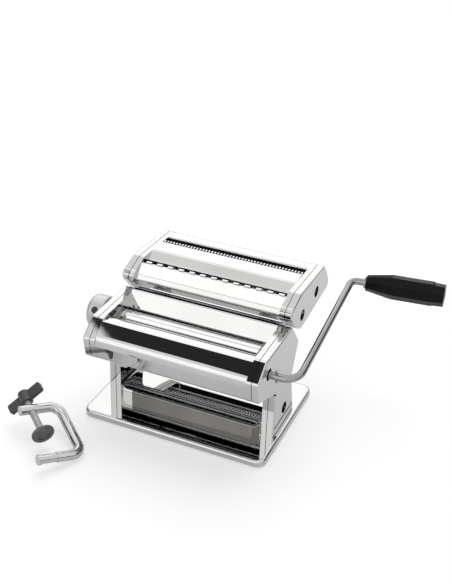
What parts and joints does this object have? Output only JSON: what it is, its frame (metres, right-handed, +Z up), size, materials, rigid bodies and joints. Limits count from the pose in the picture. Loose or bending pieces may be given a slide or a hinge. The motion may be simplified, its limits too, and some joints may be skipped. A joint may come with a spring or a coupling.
{
  "type": "pasta roller machine",
  "caption": "Hand-cranked chrome pasta roller on a base plate, with a thickness dial, a lift-off cutter head for fine and wide strips, and a table clamp lying beside it.",
  "frame": {"origin": "on the table under the middle of the base, on the underside of the rubber pad", "axes": "+X towards the crank side along the rollers, +Y to the rear where the cutter head is, +Z up"},
  "size_m": [0.3716, 0.2898, 0.142],
  "materials": {
    "chrome": "polished chrome-plated sheet and rod",
    "steel": "ground rollers",
    "gear_steel": "plain steel",
    "knob_silver": "silver-grey moulded knob",
    "black": "black mark",
    "grip_black": "black moulded grip",
    "wing_grey": "dark grey moulded wing",
    "rubber": "black rubber pad"
  },
  "bodies": {
    "frame": {"base_plate": "chrome", "base_pad": "rubber", "inner_plate_l": "chrome", "inner_plate_r": "chrome", "side_cover_l": "chrome", "side_cover_r": "chrome", "dough_guide_l": "chrome", "dough_guide_r": "chrome", "front_bush_l": "gear_steel", "front_bush_r": "gear_steel", "tie_rod_1": "gear_steel", "tie_rod_2": "gear_steel", "tie_rod_3": "gear_steel", "front_panel": "chrome", "feed_plate": "chrome", "rear_panel": "chrome", "index_plate": "gear_steel", "cutter_rail_l": "gear_steel", "cutter_rail_r": "gear_steel", "clamp_bar": "chrome"},
    "front_roller": {"front_roller": "steel", "front_gear": "gear_steel"},
    "crank": {"crank": "chrome", "grip_screw": "chrome"},
    "grip": {"grip": "grip_black"},
    "gap_carriage": {"block_l": "gear_steel", "block_r": "gear_steel", "gap_yoke": "gear_steel"},
    "rear_roller": {"rear_roller": "steel", "rear_gear": "gear_steel"},
    "dial": {"dial_shaft": "gear_steel", "dial_cap": "gear_steel"},
    "knob": {"knob": "knob_silver", "knob_dot": "black"},
    "cutter": {"cutter_plate_l": "chrome", "cutter_plate_r": "chrome", "cutter_cap_l": "chrome", "cutter_cap_r": "chrome", "cutter_tie_1": "gear_steel", "cutter_tie_2": "gear_steel", "cutter_rear_strip": "chrome", "cutter_mid_cover": "chrome", "cutter_front_strip": "chrome", "cutter_hanger": "gear_steel", "fine_comb": "gear_steel", "wide_comb": "gear_steel"},
    "fine_lead": {"fine_roller_a": "steel", "fine_gear_a": "gear_steel"},
    "fine_follow": {"fine_roller_b": "steel", "fine_gear_b": "gear_steel"},
    "wide_lead": {"wide_roller_a": "steel", "wide_gear_a": "gear_steel"},
    "wide_follow": {"wide_roller_b": "steel", "wide_gear_b": "gear_steel"},
    "clamp_pad": {"clamp_pad": "chrome"},
    "clamp_screw": {"clamp_screw": "chrome", "clamp_wing": "wing_grey"}
  },
  "joints": [
    {"name": "crank_turn", "type": "hinge", "parent": "frame", "child": "front_roller", "pos_m": [0, -0.0526, 0.0976], "axis": [1, 0, 0], "continuous": true},
    {"name": "crank_pull", "type": "slide", "parent": "front_roller", "child": "crank", "axis": [1, 0, 0], "range_m": [0, 0.03]},
    {"name": "grip_spin", "type": "hinge", "parent": "crank", "child": "grip", "pos_m": [0.13323, 0.10432, 0.12583], "axis": [0.9954, 0.0943, 0.017], "continuous": true},
    {"name": "thickness_dial", "type": "hinge", "parent": "frame", "child": "dial", "pos_m": [-0.1, -0.0205, 0.095], "axis": [1, 0, 0], "range_deg": [0, 90]},
    {"name": "knob_pull", "type": "slide", "parent": "dial", "child": "knob", "axis": [-1, 0, 0], "range_m": [0, 0.004], "stiffness_N_per_m": 600},
    {"name": "roller_gap", "type": "slide", "parent": "frame", "child": "gap_carriage", "axis": [0, -0.9703, 0.2419], "range_m": [0, 0.00206]},
    {"name": "rear_turn", "type": "hinge", "parent": "gap_carriage", "child": "rear_roller", "pos_m": [0, -0.02252, 0.0901], "axis": [1, 0, 0], "continuous": true},
    {"name": "cutter_lift", "type": "slide", "parent": "frame", "child": "cutter", "axis": [0, -0.6356, 0.772], "range_m": [0, 0.045]},
    {"name": "fine_turn", "type": "hinge", "parent": "cutter", "child": "fine_lead", "pos_m": [0, 0.0734, 0.1204], "axis": [1, 0, 0], "continuous": true},
    {"name": "fine_mesh", "type": "hinge", "parent": "cutter", "child": "fine_follow", "pos_m": [0, 0.05637, 0.11881], "axis": [1, 0, 0], "continuous": true},
    {"name": "wide_turn", "type": "hinge", "parent": "cutter", "child": "wide_lead", "pos_m": [0, 0.0334, 0.1146], "axis": [1, 0, 0], "continuous": true},
    {"name": "wide_mesh", "type": "hinge", "parent": "cutter", "child": "wide_follow", "pos_m": [0, 0.01972, 0.12486], "axis": [1, 0, 0], "continuous": true},
    {"name": "clamp_feed", "type": "slide", "parent": "frame", "child": "clamp_pad", "axis": [0.7768, -0.5887, -0.2236], "range_m": [-0.015, 0.004]},
    {"name": "clamp_turn", "type": "hinge", "parent": "clamp_pad", "child": "clamp_screw", "pos_m": [-0.10576, -0.1322, 0.01795], "axis": [0.7768, -0.5887, -0.2236], "range_deg": [-4320, 1152]}
  ],
  "couplings": [
    {"joint": "rear_turn", "follows": "crank_turn", "ratio": -1},
    {"joint": "thickness_dial", "follows": "roller_gap", "rad_per_m": 762.4},
    {"joint": "fine_mesh", "follows": "fine_turn", "ratio": -1},
    {"joint": "wide_mesh", "follows": "wide_turn", "ratio": -1},
    {"joint": "clamp_turn", "follows": "clamp_feed", "rad_per_m": 5026}
  ]
}
